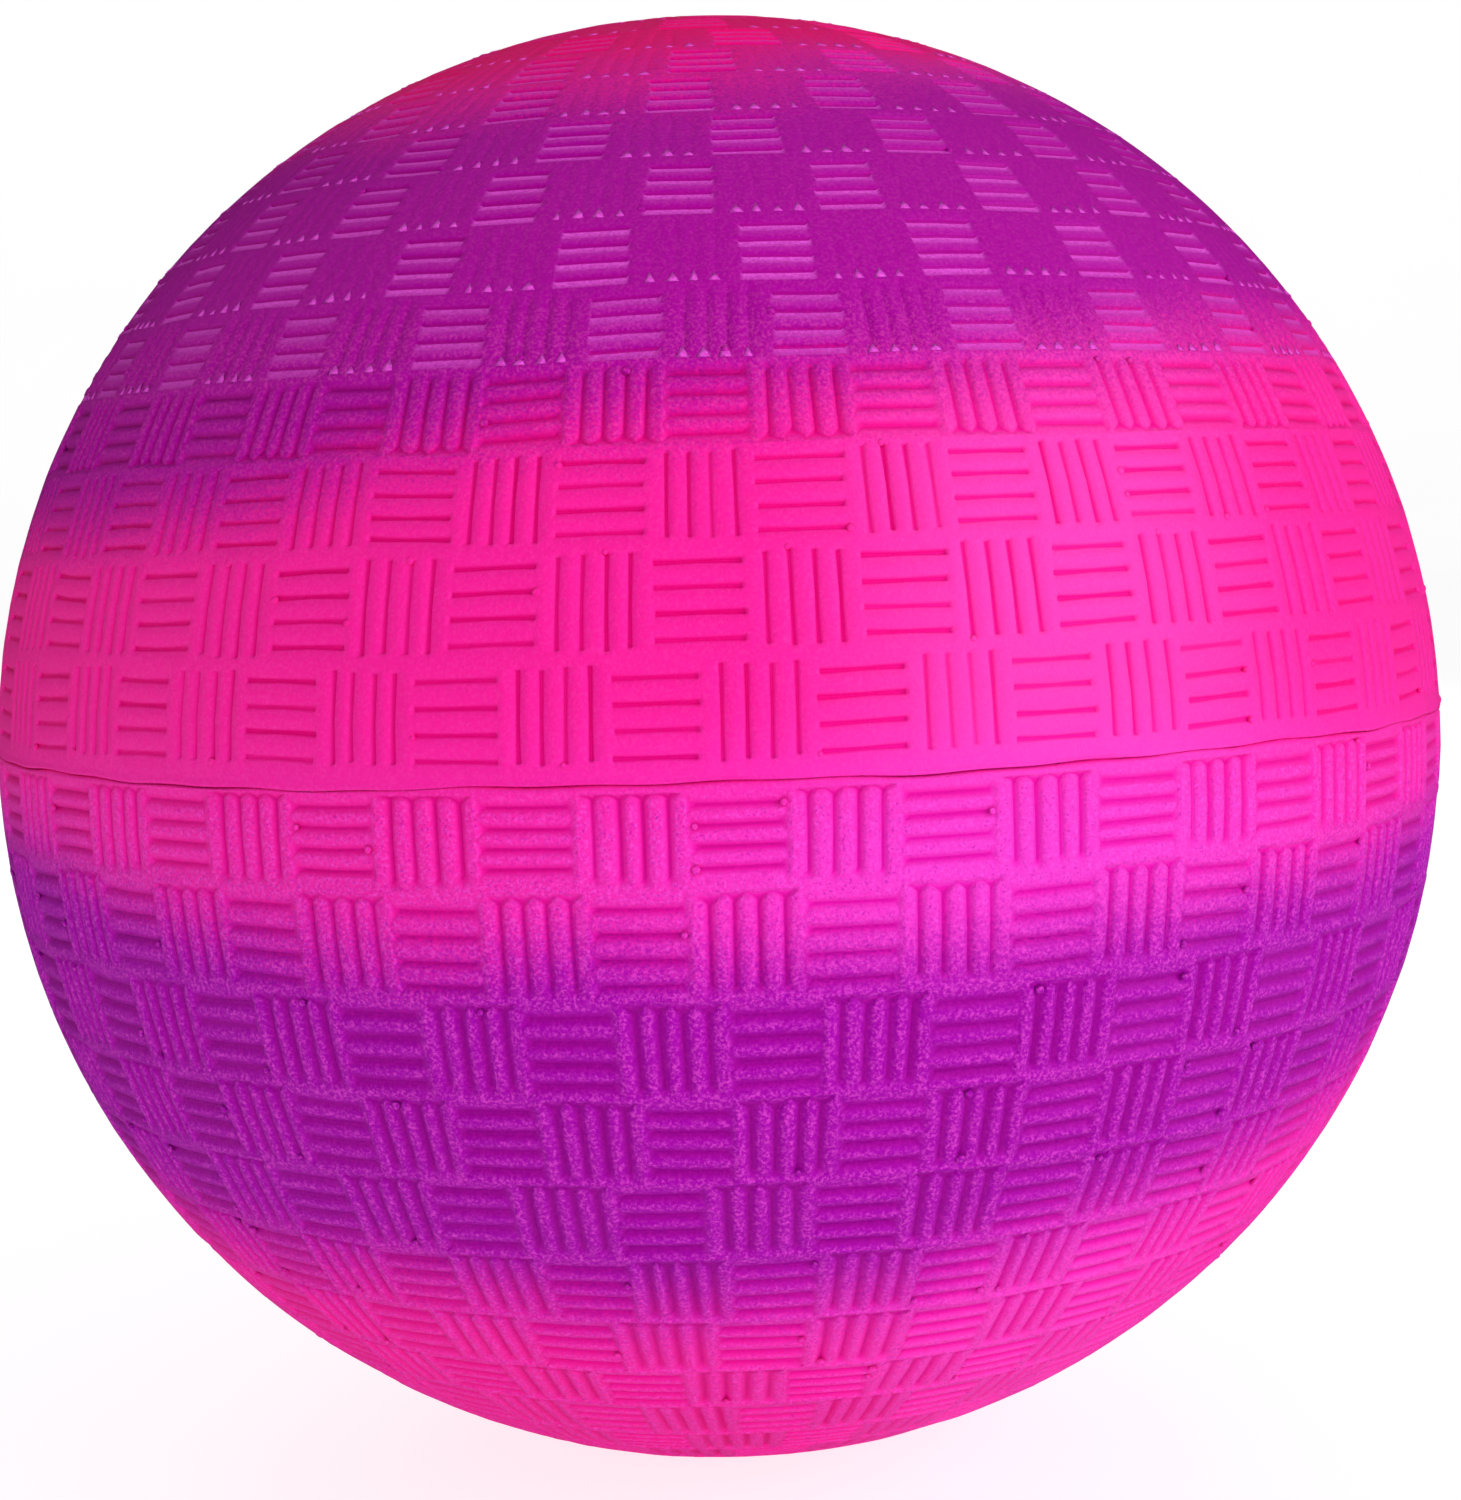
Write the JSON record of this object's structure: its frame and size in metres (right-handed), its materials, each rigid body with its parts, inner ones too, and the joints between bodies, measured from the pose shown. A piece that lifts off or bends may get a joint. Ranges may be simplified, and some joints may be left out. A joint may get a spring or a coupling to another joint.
{
  "type": "playground ball",
  "caption": "Hollow inflatable rubber play ball with a basket-weave grip texture, half-shell covers over an airtight inner ply, and a push-in needle valve at the pole.",
  "frame": {"origin": "centre of the ball", "axes": "+Z from the centre through the inflation valve; the mould's parting plane is level, 4 mm above the centre; the ball is the same all round +Z"},
  "size_m": [0.2164, 0.2164, 0.2159],
  "materials": {
    "cover": "satin moulded rubber, hot pink with soft purple bands",
    "inner_ply": "matt black rubber dusted with talc",
    "tape": "matt black rubber",
    "valve": "satin pink rubber",
    "plug": "satin black rubber"
  },
  "bodies": {
    "ball": {"cover_upper": "cover", "cover_lower": "cover", "inner_ply_upper": "inner_ply", "inner_ply_lower": "inner_ply", "seam_tape": "tape", "valve_patch": "tape", "valve_housing": "valve"},
    "plug": {"valve_plug": "plug"}
  },
  "joints": [
    {"name": "plug_pull", "type": "slide", "parent": "ball", "child": "plug", "axis": [0, 0, 1], "range_m": [0, 0.02]}
  ]
}
